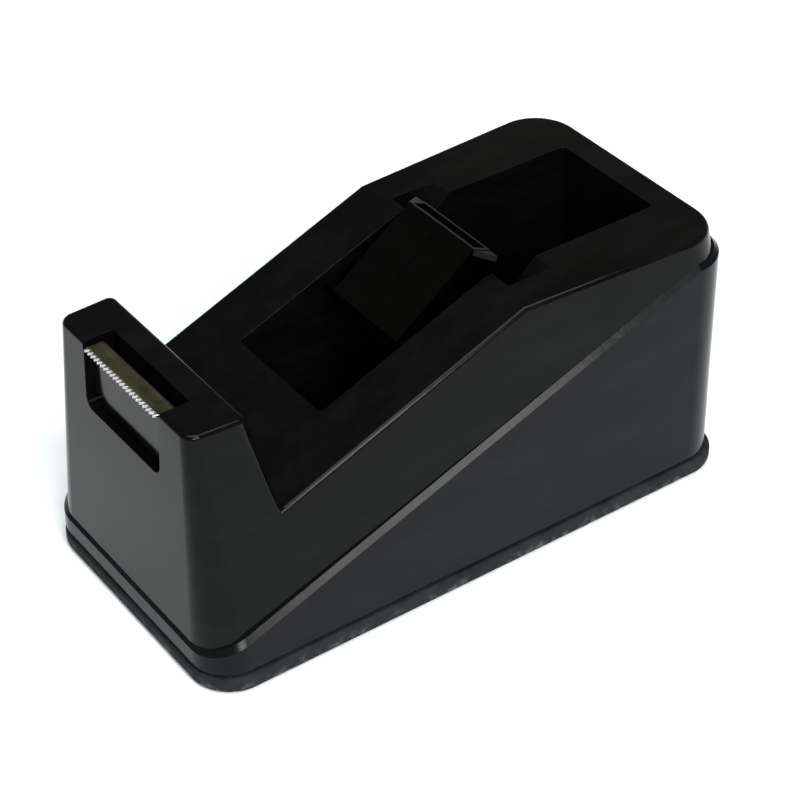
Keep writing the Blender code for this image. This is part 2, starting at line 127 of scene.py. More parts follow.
def start_material(name, colour, roughness, metallic=0.0):
    """A material with its nodes, its links, its one shader, and the piece's own coordinates."""
    material = bpy.data.materials.new(name)
    material.use_nodes = True
    nodes, links = material.node_tree.nodes, material.node_tree.links
    shader = nodes["Principled BSDF"]
    shader.inputs["Base Color"].default_value = (*colour, 1.0)
    shader.inputs["Roughness"].default_value = roughness
    shader.inputs["Metallic"].default_value = metallic
    place = nodes.new("ShaderNodeTexCoord").outputs["Object"]
    return material, nodes, links, shader, place


def noise(nodes, links, place, scale, detail, roughness=0.55, stretch=None):
    """Noise on a piece, with scale in features to the metre."""
    node = nodes.new("ShaderNodeTexNoise")
    node.inputs["Scale"].default_value = scale
    node.inputs["Detail"].default_value = detail
    node.inputs["Roughness"].default_value = roughness
    if stretch:
        mapping = nodes.new("ShaderNodeMapping")
        mapping.inputs["Scale"].default_value = stretch
        links.new(place, mapping.inputs["Vector"])
        place = mapping.outputs["Vector"]
    links.new(place, node.inputs["Vector"])
    return node.outputs["Fac"]


def along(nodes, links, place, axis):
    """One coordinate of a place, by its letter."""
    node = nodes.new("ShaderNodeSeparateXYZ")
    links.new(place, node.inputs["Vector"])
    return node.outputs[axis]


def ranged(nodes, links, value, between, gives=(0.0, 1.0)):
    """A value that runs between two numbers, brought to run between two others, and held there."""
    node = nodes.new("ShaderNodeMapRange")
    node.inputs["From Min"].default_value, node.inputs["From Max"].default_value = between
    node.inputs["To Min"].default_value, node.inputs["To Max"].default_value = gives
    links.new(value, node.inputs["Value"])
    return node.outputs["Result"]


def blended(nodes, links, factor, first, second):
    """A colour between two colours, each given as a tuple or as another node's colour."""
    node = nodes.new("ShaderNodeMix")
    node.data_type = "RGBA"
    links.new(factor, node.inputs["Factor"])
    for socket, colour in ((node.inputs[6], first), (node.inputs[7], second)):
        if isinstance(colour, tuple):
            socket.default_value = (*colour, 1.0)
        else:
            links.new(colour, socket)
    return node.outputs[2]


def bumped(nodes, links, height, shader, strength, distance, under=None):
    """A bump of distance metres, on the shader if one is given, and on top of another bump if any."""
    node = nodes.new("ShaderNodeBump")
    node.inputs["Strength"].default_value = strength
    node.inputs["Distance"].default_value = distance
    links.new(height, node.inputs["Height"])
    if under:
        links.new(under, node.inputs["Normal"])
    if shader:
        links.new(node.outputs["Normal"], shader.inputs["Normal"])
    return node.outputs["Normal"]


def foam_rubber():
    """Fine cells in blotchy grey, with a painted highlight in patches near the desk."""
    material, nodes, links, shader, place = start_material("grey_foam_rubber", FOAM_LIGHT, roughness=0.75)
    shader.inputs["IOR"].default_value = 1.18
    cells = nodes.new("ShaderNodeTexVoronoi")
    cells.inputs["Scale"].default_value = FOAM_CELLS
    links.new(place, cells.inputs["Vector"])
    blotches = noise(nodes, links, place, scale=210.0, detail=5.0, roughness=0.62)
    sheen_and_scuff_noise = noise(nodes, links, place, scale=520.0, detail=4.0, roughness=0.6)
    # Painted highlight: patches of pale sheen on the pad's lowest few millimetres, scattered by noise that
    # also drives a bump.
    painted_sheen = nodes.new("ShaderNodeMath")
    painted_sheen.operation = "MULTIPLY"
    height = along(nodes, links, place, "Z")
    links.new(ranged(nodes, links, sheen_and_scuff_noise, between=(0.5, 0.68)), painted_sheen.inputs[0])
    links.new(ranged(nodes, links, height, between=(0.0, PAINTED_SHEEN_BELOW), gives=(1.0, 0.0)), painted_sheen.inputs[1])
    grey = blended(nodes, links, ranged(nodes, links, blotches, between=(0.35, 0.7)), FOAM_DARK, FOAM_LIGHT)
    links.new(blended(nodes, links, painted_sheen.outputs[0], grey, FOAM_PAINTED_SHEEN), shader.inputs["Base Color"])
    dullness = ranged(nodes, links, blotches, between=(0.3, 0.7), gives=(0.6, 0.85))
    links.new(dullness, shader.inputs["Roughness"])
    coarse = bumped(nodes, links, sheen_and_scuff_noise, None, strength=0.35, distance=0.0003)
    bumped(nodes, links, cells.outputs["Distance"], shader, strength=0.5, distance=0.00015, under=coarse)
    return material


bm = bmesh.new()
rounded_ring(bm, 0.0, PAD_HALF_WIDTH, PAD_HALF_WIDTH, -PAD_HALF_LENGTH, PAD_HALF_LENGTH, PAD_R, PAD_R)
thicken(bm, (0, 0, PAD_THICK))
round_off(bm, sharp_edges(bm, CORNER, lambda p: p.z < NEAR), PAD_LOW_R, segments=6)
round_off(bm, sharp_edges(bm, CORNER, lambda p: p.z > PAD_THICK - NEAR), PAD_TOP_R, segments=4)
finish_piece(piece("pad", bm), "foam_pad", "non_slip_pad", "base", foam_rubber())


# ---- Lower shell ------------------------------------------------------------------------------
# An injection-moulded tub of glossy black polystyrene. Its rim rises in one straight slope from
# the front to just under the rear deck, and its bevelled lip stands a little proud of the cover.
# Four screws come up through its floor from below, with their heads in shallow recesses.

SHELL_BOTTOM, SHELL_TOP, SHELL_FLOOR, SHELL_WALL = 3.9, 46.0, 2.4, 2.0
SHELL_HALF_WIDTH, SHELL_FRONT_Y, SHELL_REAR_Y = 27.0, -54.85, 54.5
SHELL_FRONT_R, SHELL_REAR_R, SHELL_DRAFT = 7.0, 8.8, 0.012
RIM_FRONT_Z, RIM_SLOPE, RIM_GAP, RIM_CHAMFER, FOOT_R = 8.1, 0.379, 0.15, 0.9, 0.35
ABOVE_RIM, ABOVE_ALL, BEYOND = 50.0, 70.0, 90.0  # where shapes end that get trimmed, or that trim
SCREW_PLACES = ((-17.0, -46.0), (17.0, -46.0), (-19.0, 46.0), (19.0, 46.0))
SCREW_HOLE_R, SCREW_HOLE_TOP, SCREW_HEAD_R, SCREW_HEAD_DEEP = 1.6, 10.0, 2.9, 1.2
WELD, FLAT = 0.0001, 0.2  # millimetres and degrees: less than these is cleaned out of a shape
SHELL_BLACK = (0.0024, 0.0028, 0.0032)


def loft(name, low, high):
    """A closed body between two rounded plans, each given as for rounded_ring."""
    bm = bmesh.new()
    bmesh.ops.bridge_loops(bm, edges=rounded_ring(bm, *low) + rounded_ring(bm, *high))
    return piece(name, bm)


def across(name, outline, left, right):
    """A prism across the dispenser whose outline is given as (y, z) points."""
    bm = bmesh.new()
    bm.faces.new([bm.verts.new((left, y, z)) for y, z in outline])
    thicken(bm, (right - left, 0, 0))
    return piece(name, bm)


def bar(radius, length, sides):
    """The mesh of an upright cylinder about the origin."""
    bm = bmesh.new()
    bmesh.ops.create_cone(bm, cap_ends=True, segments=sides, radius1=radius, radius2=radius, depth=length)
    return bm


def post(name, radius, low, high, place):
    """An upright cylinder at a place in plan."""
    bm = bar(radius, high - low, sides=40)
    bmesh.ops.translate(bm, vec=(*place, (low + high) / 2), verts=bm.verts)
    return piece(name, bm)


def join_or_cut(obj, tool, operation="DIFFERENCE"):
    """Joins, cuts or trims a shape with another one, which is used up."""
    modifier = obj.modifiers.new(operation.lower(), "BOOLEAN")
    modifier.solver, modifier.operation, modifier.object = "EXACT", operation, tool
    depsgraph = bpy.context.evaluated_depsgraph_get()
    made = bpy.data.meshes.new_from_object(obj.evaluated_get(depsgraph))
    obj.modifiers.clear()
    obj.data = made
    bpy.data.objects.remove(tool)


def reopen(obj):
    """The shape as a bmesh, with the seams that joining and cutting left in flat faces cleaned away."""
    bm = bmesh.new()
    bm.from_mesh(obj.data)
    bpy.data.objects.remove(obj)
    bmesh.ops.remove_doubles(bm, verts=bm.verts, dist=WELD)
    bmesh.ops.dissolve_limit(
        bm, angle_limit=math.radians(FLAT), verts=bm.verts, edges=bm.edges, use_dissolve_boundaries=False
    )
    return bm


def rim_outline(shift):
    """All that is below the parting line, moved up by shift, as (y, z) points."""
    turn_y = SHELL_FRONT_Y + (SHELL_TOP - RIM_FRONT_Z) / RIM_SLOPE
    front_z = RIM_FRONT_Z - (BEYOND + SHELL_FRONT_Y) * RIM_SLOPE
    return [
        (-BEYOND, front_z - BEYOND),
        (BEYOND, front_z - BEYOND),
        (BEYOND, SHELL_TOP + shift),
        (turn_y, SHELL_TOP + shift),
        (-BEYOND, front_z + shift),
    ]


def shell_ring(z, inset):
    """The shell's plan at height z, drawn in by inset, as for rounded_ring."""
    drawn_in = SHELL_DRAFT * (z - SHELL_BOTTOM) + inset
    half, front_y, rear_y = SHELL_HALF_WIDTH - drawn_in, SHELL_FRONT_Y + drawn_in, SHELL_REAR_Y - drawn_in
    return (z, half, half, front_y, rear_y, SHELL_FRONT_R - inset / 2, SHELL_REAR_R - inset / 2)


def gloss_black(name, colour, roughness):
    """Polished black moulding: faint flow marks, a haze of handling and a very shallow orange peel."""
    material, nodes, links, shader, place = start_material(name, colour, roughness)
    shader.inputs["IOR"].default_value = 1.2
    haze = noise(nodes, links, place, scale=55.0, detail=6.0, roughness=0.6)
    flow = noise(nodes, links, place, scale=150.0, detail=4.0, roughness=0.6, stretch=(1.0, 0.35, 1.6))
    gloss = ranged(nodes, links, haze, between=(0.3, 0.72), gives=(roughness - 0.05, roughness + 0.07))
    links.new(gloss, shader.inputs["Roughness"])
    dusty = tuple(1.8 * channel + 0.0012 for channel in colour)
    tone = blended(nodes, links, ranged(nodes, links, flow, between=(0.45, 0.8)), colour, dusty)
    links.new(tone, shader.inputs["Base Color"])
    waves = bumped(nodes, links, haze, None, strength=0.12, distance=0.0006)
    peel = noise(nodes, links, place, scale=900.0, detail=2.0)
    bumped(nodes, links, peel, shader, strength=0.06, distance=0.00005, under=waves)
    return material


shell = loft("shell", shell_ring(SHELL_BOTTOM, 0.0), shell_ring(ABOVE_RIM, 0.0))
join_or_cut(shell, across("rim", rim_outline(-RIM_GAP), -BEYOND, BEYOND), "INTERSECT")
bm = reopen(shell)
lip = sharp_edges(bm, CORNER, lambda p: p.z > SHELL_BOTTOM + NEAR)
round_off(bm, lip, RIM_CHAMFER, segments=1, clamp=False)
round_off(bm, sharp_edges(bm, CORNER, lambda p: p.z < SHELL_BOTTOM + NEAR), FOOT_R, segments=5)
shell = piece("shell", bm)
inner_floor, inner_top = (shell_ring(z, SHELL_WALL) for z in (SHELL_BOTTOM + SHELL_FLOOR, ABOVE_ALL))
join_or_cut(shell, loft("hollow", inner_floor, inner_top))
for place in SCREW_PLACES:
    join_or_cut(shell, post("hole", SCREW_HOLE_R, 0.0, SCREW_HOLE_TOP, place))
    join_or_cut(shell, post("recess", SCREW_HEAD_R, 0.0, SHELL_BOTTOM + SCREW_HEAD_DEEP, place))
shell_black = gloss_black("shell_black_plastic", SHELL_BLACK, roughness=0.17)
finish_piece(piece("lower_tub", reopen(shell)), "lower_tub", "lower_shell", "base", shell_black)


# ---- Upper cover ------------------------------------------------------------------------------
# A second glossy black moulding that drops into the tub. Its side walls are flat planes that lean
# in; the nose carries the cutter, and a deep open well behind it holds the roll of tape.

SIDE_BASE, SIDE_LEAN, SIDE_FLARE = 29.49, 0.134, 0.055
COVER_FRONT_Y, COVER_FRONT_LEAN, COVER_REAR_Y = -54.8, 0.036, 58.6
COVER_FRONT_R, COVER_FRONT_R_FALL, COVER_REAR_R = 7.0, 0.095, 8.7
COVER_WALL, COVER_TOP = 2.0, 60.0  # the top is trimmed to the outline
NOSE_TOP, NOSE_REAR_Y = 49.1, -42.5
VALLEY_Y, VALLEY_Z = -38.7, 30.4
BEND_Y, BEND_Z, DECK_END_Z = 9.45, 49.9, 50.4
COVER_EDGE_R, COVER_EDGE_LOW, COVER_EDGE_TURN = 0.75, 3.0, 24.0
NOSE_BACK_R, NOSE_BACK_X = 1.4, 15.0
WELL_HALF, WELL_FRONT, WELL_REAR, WELL_FLOOR, WELL_WALL = 12.15, -23.6, 46.1, 9.8, 1.8
WELL_R, WELL_LIP_R, WELL_LIP_LOW, WELL_LIP_TURN = 0.8, 0.35, 15.0, 30.0
AXLE_Y, AXLE_Z = 6.4, 41.5
SLOT_HALF, SLOT_OUTER_X, SLOT_LENGTH, SLOT_TURN, SEAT_R = 3.0, 16.5, 36.0, 42.3, 2.999
SLOT_BOSS = ((-18.0, 0.0, 35.0), (18.0, 24.0, COVER_TOP))
NOSE_BOSS = ((-13.5, -60.0, 34.0), (13.5, -45.0, COVER_TOP))
BOSS_INSET, LIP_REACH, LIP_DEPTH = 0.9, 1.0, 0.15
VALLEY_SHIFT, BEND_SHIFT = 0.8, 0.2  # for each millimetre that the outline is drawn in
PAST = 1.0  # millimetres that a cutter runs past what it cuts
POCKET_HALF, POCKET_LOW, POCKET_BACK_Y, POCKET_R = 11.5, 36.7, -51.9, 2.0
RECESS_HALF, RECESS_REAR_Y, RECESS_LIP_R, PAST_FRONT = 11.7, -47.4, 0.3, -62.0
BLADE_TOP, BLADE_THICK, BLADE_LEG, BLADE_REAR_Y = 48.3, 0.5, 5.0, -49.1
UNDER_BLADE, BEFORE_BLADE_LEG, BELOW_BLADE_LEG = 0.1, 0.2, 0.3
COVER_BLACK = (0.0015, 0.0015, 0.0016)


def cover_ring(z, inset):
    """The cover's plan at height z, drawn in by inset, as for rounded_ring."""
    front_r, rear_r = COVER_FRONT_R - COVER_FRONT_R_FALL * z, COVER_REAR_R
    front_y = COVER_FRONT_Y + COVER_FRONT_LEAN * z + inset
    rear_y = COVER_REAR_Y - SIDE_LEAN * z - inset
    front_half = SIDE_BASE - SIDE_LEAN * z + SIDE_FLARE * front_y - inset
    rear_half = SIDE_BASE - SIDE_LEAN * z + SIDE_FLARE * rear_y - inset
    return (z, front_half, rear_half, front_y, rear_y, front_r - inset / 2, rear_r - inset / 2)


def cover_outline(inset):
    """Side view of the cover: deck, bend, ramp, valley and nose, as (y, z) points."""
    rise = (DECK_END_Z - BEND_Z) / (SHELL_REAR_Y - BEND_Y)
    ramp = (BEND_Z - VALLEY_Z) / (BEND_Y - VALLEY_Y)
    back = (NOSE_TOP - VALLEY_Z) / (VALLEY_Y - NOSE_REAR_Y)
    across_nose = inset * (1 + 1 / back)
    drop = inset * math.hypot(1, ramp)
    valley_y = VALLEY_Y - VALLEY_SHIFT * inset
    return [
        (-BEYOND, -BEYOND),
        (BEYOND, -BEYOND),
        (BEYOND, BEND_Z + rise * (BEYOND - BEND_Y) - inset),
        (BEND_Y + BEND_SHIFT * inset, BEND_Z - inset),
        (valley_y, VALLEY_Z + ramp * (valley_y - VALLEY_Y) - drop),
        (NOSE_REAR_Y - across_nose, NOSE_TOP - inset),
        (-BEYOND, NOSE_TOP - inset),
    ]


def cover_core(name, inset):
    """The cover's outer form as a solid, drawn in by inset."""
    body = loft(name, cover_ring(0.0, inset), cover_ring(COVER_TOP, inset))
    join_or_cut(body, across(name + "_side", cover_outline(inset), -BEYOND, BEYOND), "INTERSECT")
    return body


def block(low, high):
    """The mesh of a plain block between two corners."""
    bm = bmesh.new()
    bmesh.ops.create_cube(bm, size=1.0)
    size = Vector(high) - Vector(low)
    bmesh.ops.scale(bm, vec=size, verts=bm.verts)
    bmesh.ops.translate(bm, vec=Vector(low) + size / 2, verts=bm.verts)
    return bm


def rounded_block(low, high, radius, axis):
    """The mesh of a block whose edges along one axis are rounded."""
    bm = block(low, high)
    lines = [e for e in bm.edges if abs((e.verts[0].co - e.verts[1].co)[axis]) > NEAR]
    round_off(bm, lines, radius, segments=8)
    return bm


def turned_at_axle(bm, angle):
    """Turns what was drawn about the origin about X, and moves it to the axle."""
    bmesh.ops.rotate(bm, matrix=Matrix.Rotation(angle, 3, "X"), verts=bm.verts)
    bmesh.ops.translate(bm, vec=(0, AXLE_Y, AXLE_Z), verts=bm.verts)
    return bm


def axle_slot(low, high):
    """Cutter for a slot with a round seat at the axle, which rises towards the rear."""
    bm = block((low, -SLOT_HALF, -SLOT_HALF), (high, SLOT_LENGTH - SLOT_HALF, SLOT_HALF))
    seat = [
        e
        for e in bm.edges
        if all(v.co.y < 0 for v in e.verts) and abs((e.verts[0].co - e.verts[1].co).x) > NEAR
    ]
    round_off(bm, seat, SEAT_R, segments=16)
    return piece("slot", turned_at_axle(bm, math.radians(SLOT_TURN)))


def well_lip(p):
    """Whether a point is on the rim of the well or of a slot."""
    beside = abs(p.x) < SLOT_OUTER_X + LIP_REACH
    return beside and WELL_FRONT - LIP_REACH < p.y < WELL_REAR + LIP_REACH and p.z > WELL_LIP_LOW


def nose_lip(p):
    """Whether a point is on the rim of the pocket or of the blade's recess."""
    on_front = p.y < COVER_FRONT_Y + COVER_FRONT_LEAN * p.z + LIP_DEPTH
    on_top = p.z > NOSE_TOP - LIP_DEPTH
    inside = abs(p.x) < RECESS_HALF + LIP_REACH and p.z > POCKET_LOW - LIP_REACH
    return inside and p.y < RECESS_REAR_Y + LIP_REACH and (on_front or on_top)


bm = reopen(cover_core("cover", 0.0))
nose_back = sharp_edges(bm, CORNER, lambda p: NOSE_REAR_Y < p.y < VALLEY_Y and abs(p.x) > NOSE_BACK_X)
round_off(bm, nose_back, NOSE_BACK_R, segments=6)
outer = sharp_edges(bm, COVER_EDGE_TURN, lambda p: p.z > COVER_EDGE_LOW)
round_off(bm, outer, COVER_EDGE_R, segments=5, clamp=False)
cover = piece("cover", bm)
join_or_cut(cover, cover_core("cavity", COVER_WALL))
join_or_cut(cover, across("below_rim", rim_outline(0.0), -BEYOND, BEYOND))

well_outside = block(
    (-WELL_HALF - WELL_WALL, WELL_FRONT - WELL_WALL, WELL_FLOOR - WELL_WALL),
    (WELL_HALF + WELL_WALL, WELL_REAR + WELL_WALL, COVER_TOP),
)
inside = piece("well_outside", well_outside)
join_or_cut(inside, piece("slot_boss", block(*SLOT_BOSS)), "UNION")
join_or_cut(inside, piece("nose_boss", block(*NOSE_BOSS)), "UNION")
join_or_cut(inside, cover_core("core", BOSS_INSET), "INTERSECT")
join_or_cut(cover, inside, "UNION")

well_inside = ((-WELL_HALF, WELL_FRONT, WELL_FLOOR), (WELL_HALF, WELL_REAR, COVER_TOP))
join_or_cut(cover, piece("well", rounded_block(*well_inside, WELL_R, axis=2)))
join_or_cut(cover, axle_slot(WELL_HALF - PAST, SLOT_OUTER_X))
join_or_cut(cover, axle_slot(-SLOT_OUTER_X, PAST - WELL_HALF))

pocket = ((-POCKET_HALF, PAST_FRONT, POCKET_LOW), (POCKET_HALF, POCKET_BACK_Y, COVER_TOP))
join_or_cut(cover, piece("pocket", rounded_block(*pocket, POCKET_R, axis=1)))
seat_z = BLADE_TOP - BLADE_THICK - UNDER_BLADE
leg_front = BLADE_REAR_Y - BLADE_THICK - BEFORE_BLADE_LEG
leg_low = BLADE_TOP - BLADE_LEG - BELOW_BLADE_LEG
recess_end = (RECESS_HALF, RECESS_REAR_Y, COVER_TOP)
join_or_cut(cover, piece("recess", block((-RECESS_HALF, PAST_FRONT, seat_z), recess_end)))
join_or_cut(cover, piece("blade_slot", block((-RECESS_HALF, leg_front, leg_low), recess_end)))

bm = reopen(cover)
round_off(bm, sharp_edges(bm, WELL_LIP_TURN, well_lip), WELL_LIP_R, segments=3)
round_off(bm, sharp_edges(bm, CORNER, nose_lip), RECESS_LIP_R, segments=3)
cover_black = gloss_black("gloss_black_plastic", COVER_BLACK, roughness=0.15)
finish_piece(piece("cover", bm), "top_cover", "upper_cover", "base", cover_black)


# ---- Cutter blade -----------------------------------------------------------------------------
# A strip of thin spring steel, zinc plated and yellow passivated, with punched teeth along its
# front edge. Its rear edge is folded down into the slot in the nose.

BLADE_HALF, BLADE_FRONT_Y, BLADE_FOLD_R, BLADE_CHAMFER = 11.0, -53.5, 1.0, 0.06
TEETH, TOOTH_DEPTH, BARE_UP_TO, PLATED_FROM = 22, 0.85, 0.7, 1.0
PLATED_DARK, PLATED_LIGHT, BARE_STEEL = (0.1, 0.096, 0.058), (0.16, 0.152, 0.105), (0.45, 0.45, 0.43)


def passivated_steel():
    """Cloudy yellow plating, with the bare steel showing at the tips of the teeth."""
    material, nodes, links, shader, place = start_material(
        "yellow_passivated_steel", PLATED_LIGHT, roughness=0.3, metallic=1.0
    )
    cloud = noise(nodes, links, place, scale=260.0, detail=5.0, roughness=0.6)
    grain = noise(nodes, links, place, scale=900.0, detail=3.0, roughness=0.5, stretch=(0.15, 1.0, 1.0))
    cloudy = ranged(nodes, links, cloud, between=(0.3, 0.7))
    plated = blended(nodes, links, cloudy, PLATED_DARK, PLATED_LIGHT)
    tips = tuple(MM * (BLADE_FRONT_Y + depth) for depth in (BARE_UP_TO, PLATED_FROM))
    bare = ranged(nodes, links, along(nodes, links, place, "Y"), between=tips, gives=(1.0, 0.0))
    links.new(blended(nodes, links, bare, plated, BARE_STEEL), shader.inputs["Base Color"])
    brushed = ranged(nodes, links, grain, between=(0.3, 0.7), gives=(0.26, 0.42))
    links.new(brushed, shader.inputs["Roughness"])
    bumped(nodes, links, grain, shader, strength=0.25, distance=0.00006)
    return material


bm = bmesh.new()
pitch = 2 * BLADE_HALF / TEETH
teeth = []
for i in range(TEETH):
    left = -BLADE_HALF + i * pitch
    teeth += [(left, BLADE_FRONT_Y + TOOTH_DEPTH), (left + pitch / 2, BLADE_FRONT_Y)]
teeth.append((BLADE_HALF, BLADE_FRONT_Y + TOOTH_DEPTH))
fold_y = BLADE_REAR_Y - BLADE_FOLD_R
line = [bm.verts.new((x, y, BLADE_TOP)) for x, y in teeth]
ends = [bm.verts.new((x, fold_y, BLADE_TOP)) for x in (BLADE_HALF, -BLADE_HALF)]
leaf = bm.faces.new(line + ends)
bent = bmesh.ops.spin(
    bm,
    geom=[bm.edges.get(ends), *ends],
    cent=(0, fold_y, BLADE_TOP - BLADE_FOLD_R),
    axis=(-1, 0, 0),
    dvec=(0, 0, 0),
    angle=math.radians(90),
    steps=8,
    use_merge=False,
)["geom_last"]
leg = bmesh.ops.extrude_edge_only(bm, edges=[e for e in bent if isinstance(e, bmesh.types.BMEdge)])["geom"]
leg_ends = [v for v in leg if isinstance(v, bmesh.types.BMVert)]
bmesh.ops.translate(bm, vec=(0, 0, BLADE_FOLD_R - BLADE_LEG), verts=leg_ends)
bmesh.ops.recalc_face_normals(bm, faces=bm.faces)
if leaf.normal.z < 0:
    bmesh.ops.reverse_faces(bm, faces=bm.faces)
bmesh.ops.solidify(bm, geom=bm.faces[:], thickness=BLADE_THICK)
round_off(bm, sharp_edges(bm, CORNER, lambda p: True), BLADE_CHAMFER, segments=1)
finish_piece(piece("blade", bm), "serrated_cutter", "cutter_blade", "base", passivated_steel())


# ---- Hub axle ---------------------------------------------------------------------------------
# A turned black acetal pin with rounded ends. It lies loose in the two slanted slots, so that the
# hub lifts out with it when a roll is changed.

AXLE_R, AXLE_HALF, AXLE_END_R = 2.7, 16.2, 0.6
AXLE_BLACK = (0.006, 0.006, 0.006)


def laid_along_axle(bm, middle=0.0):
    """Lays an upright bar along the axle, with its middle at a place across."""
    bmesh.ops.rotate(bm, matrix=Matrix.Rotation(math.pi / 2, 3, "Y"), verts=bm.verts)
    bmesh.ops.translate(bm, vec=(middle, AXLE_Y, AXLE_Z), verts=bm.verts)
    return bm


def satin_black(name, colour, roughness):
    """Satin black moulding with faint fingerprints."""
    material, nodes, links, shader, place = start_material(name, colour, roughness)
    shader.inputs["IOR"].default_value = 1.2
    smudge = noise(nodes, links, place, scale=320.0, detail=5.0, roughness=0.6)
    lighter = tuple(1.5 * channel for channel in colour)
    tone = blended(nodes, links, ranged(nodes, links, smudge, between=(0.35, 0.75)), colour, lighter)
    links.new(tone, shader.inputs["Base Color"])
    sheen = ranged(nodes, links, smudge, between=(0.3, 0.7), gives=(roughness - 0.03, roughness + 0.05))
    links.new(sheen, shader.inputs["Roughness"])
    fine = noise(nodes, links, place, scale=2200.0, detail=2.0, roughness=0.5)
    bumped(nodes, links, fine, shader, strength=0.2, distance=0.00004)
    return material


bm = bar(AXLE_R, 2 * AXLE_HALF, sides=64)
round_off(bm, sharp_edges(bm, CORNER, lambda p: True), AXLE_END_R, segments=5)
axle_black = satin_black("axle_acetal", AXLE_BLACK, roughness=0.35)
finish_piece(piece("axle", laid_along_axle(bm)), "axle_pin", "hub_axle", "axle", axle_black)


# ---- Hub --------------------------------------------------------------------------------------
# Two satin black mouldings pressed together at the middle. Each is a three-sided tube with its
# corners cut flat, grooved along each flat, and carries a pointed ear past its open end.

HUB_R, HUB_HALF, HUB_WALL, HUB_WEB, HUB_JOINT = 12.7, 9.2, 1.6, 1.5, 0.06
HUB_TURN, HUB_CORNERS, HUB_FLAT_ANGLE = 127.5, (-60, 60, 180), math.radians(8.28)
HUB_CHAMFER, HUB_EDGE_TURN, HUB_END = 0.25, 35.0, HUB_HALF + 0.01
HUB_FLAT, HUB_FLAT_HALF = HUB_R * math.cos(HUB_FLAT_ANGLE), HUB_R * math.sin(HUB_FLAT_ANGLE)
EAR_REACH, EAR_THICK, EAR_IN = 2.3, 1.0, 0.12
GROOVE_HALF, GROOVE_DEEP, GROOVE_SHORT = 1.35, 0.6, 0.7
BEARING_R, BORE_R, BORE_REACH = 4.6, AXLE_R + 0.3, 40.0
RIB_THICK, RIB_INNER, RIB_OUTER, RIB_START = 1.2, BEARING_R - 0.4, HUB_R - 1.2, 0.5
HUB_BLACK = (0.0004, 0.0004, 0.0004)


def hub_outline(inset):
    """The three-sided outline round the axle, as (y, z) points, drawn in by inset."""
    points = []
    for corner in HUB_CORNERS:
        for side in (-1, 1):
            angle = math.radians(HUB_TURN + corner) + side * HUB_FLAT_ANGLE
            points.append(Vector((math.cos(angle), math.sin(angle))) * HUB_R)
    drawn_in = []
    for i, here in enumerate(points):
        before = (here - points[i - 1]).normalized()
        after = (points[(i + 1) % len(points)] - here).normalized()
        middle = (Vector((-before.y, before.x)) + Vector((-after.y, after.x))).normalized()
        spot = here + middle * inset / middle.dot(Vector((-before.y, before.x)))
        drawn_in.append((AXLE_Y + spot.x, AXLE_Z + spot.y))
    return drawn_in


def sleeve(name, radius, left, right):
    """A round body along the axle."""
    return piece(name, laid_along_axle(bar(radius, right - left, sides=48), (left + right) / 2))


def at_corner(name, bm, corner):
    """Makes an object of a mesh drawn about the axle with +Y pointing out at one of the flats."""
    return piece(name, turned_at_axle(bm, math.radians(HUB_TURN + corner)))


def ear(side, corner):
    """The pointed plate that carries one flat of the hub past the end of its tube."""
    half, top = HUB_FLAT_HALF - EAR_IN, HUB_FLAT - EAR_IN
    root, neck, tip = (side * x for x in (HUB_HALF - HUB_WEB, HUB_HALF, HUB_HALF + EAR_REACH))
    bm = bmesh.new()
    outline = [(root, half), (neck, half), (tip, -half), (root, -half)]
    bm.faces.new([bm.verts.new((x, top - EAR_THICK, z)) for x, z in outline])
    thicken(bm, (0, EAR_THICK, 0))
    return at_corner("ear", bm, corner)


hub_black = satin_black("hub_black_plastic", HUB_BLACK, roughness=0.2)
for side, node in ((-1, "hub_half_left"), (1, "hub_half_right")):
    joint, end = side * HUB_JOINT, side * HUB_HALF
    hub = across("hub", hub_outline(0.0), *sorted((joint, end)))
    web, open_end = joint + side * HUB_WEB, end + side * PAST
    join_or_cut(hub, across("hollow", hub_outline(HUB_WALL), *sorted((web, open_end))))
    for corner in HUB_CORNERS:
        join_or_cut(hub, ear(side, corner), "UNION")
        low_x, high_x = sorted((joint - side * PAST, end - side * GROOVE_SHORT))
        groove = block((low_x, HUB_FLAT - GROOVE_DEEP, -GROOVE_HALF), (high_x, HUB_FLAT + PAST, GROOVE_HALF))
        join_or_cut(hub, at_corner("groove", groove, corner))
    join_or_cut(hub, sleeve("bearing", BEARING_R, *sorted((joint, end))), "UNION")
    for corner in HUB_CORNERS:
        low_x, high_x = sorted((joint + side * RIB_START, end - side * PAST))
        rib = block((low_x, RIB_INNER, -RIB_THICK / 2), (high_x, RIB_OUTER, RIB_THICK / 2))
        join_or_cut(hub, at_corner("rib", rib, corner), "UNION")
    join_or_cut(hub, sleeve("bore", BORE_R, -BORE_REACH, BORE_REACH))
    bm = reopen(hub)
    edges = sharp_edges(bm, HUB_EDGE_TURN, lambda p: abs(p.x) < HUB_END)
    round_off(bm, edges, HUB_CHAMFER, segments=1)
    finish_piece(piece("hub", bm), node + "_moulding", node, "hub", hub_black)


# ---- Ballast and screws -----------------------------------------------------------------------
# Three sand-cast iron weights lie in the tub, out of sight, and four zinc-plated screws hold the
# tub to the cover from below, under the pad. Their shapes come from the CAD as they are.

IRON_GREY, IRON_RUST, ZINC_GREY = (0.045, 0.045, 0.047), (0.09, 0.05, 0.03), (0.6, 0.6, 0.62)


def cast_iron():
    """Rough grey iron with patches of rust."""
    material, nodes, links, shader, place = start_material("cast_iron", IRON_GREY, 0.75, metallic=0.6)
    rust = noise(nodes, links, place, scale=120.0, detail=4.0, roughness=0.6)
    tone = blended(nodes, links, ranged(nodes, links, rust, between=(0.45, 0.7)), IRON_GREY, IRON_RUST)
    links.new(tone, shader.inputs["Base Color"])
    skin = noise(nodes, links, place, scale=700.0, detail=6.0, roughness=0.65)
    bumped(nodes, links, skin, shader, strength=0.6, distance=0.0003)
    return material


